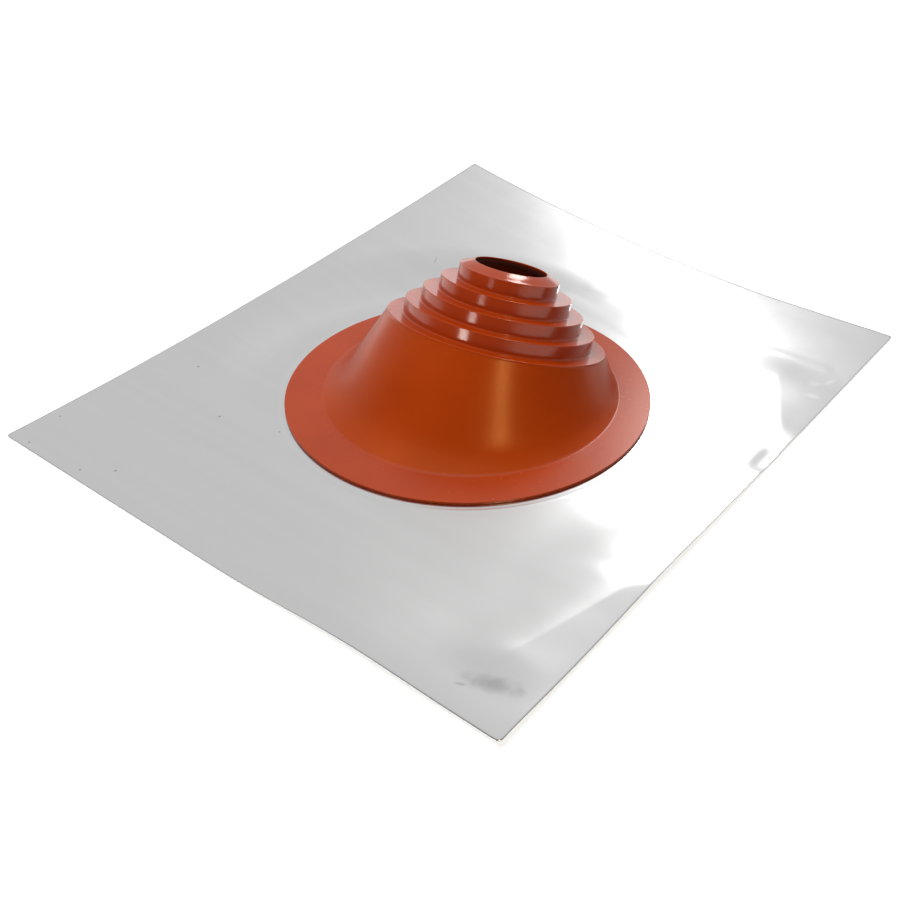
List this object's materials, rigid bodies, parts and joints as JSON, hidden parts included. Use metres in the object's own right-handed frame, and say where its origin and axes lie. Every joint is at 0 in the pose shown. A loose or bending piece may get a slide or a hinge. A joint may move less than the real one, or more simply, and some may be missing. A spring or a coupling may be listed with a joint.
{
  "type": "pipe flashing boot",
  "caption": "Angled roof flashing: a leaning stepped silicone boot moulded onto a soft aluminium sheet, to seal round a pipe through a pitched roof.",
  "frame": {"origin": "middle of the sheet's outline, on the plane that the flashing lies on", "axes": "+Z out of the roof, +Y up the slope along the sheet's long side, the way the collar leans; +X across the slope"},
  "size_m": [0.5, 0.6, 0.1067],
  "materials": {
    "silicone": "satin moulded silicone, terracotta red",
    "soft_aluminium": "bright mill-finish soft aluminium with handling bends and scuffs"
  },
  "bodies": {
    "root": {"silicone_boot": "silicone", "aluminium_sheet": "soft_aluminium"}
  },
  "joints": []
}
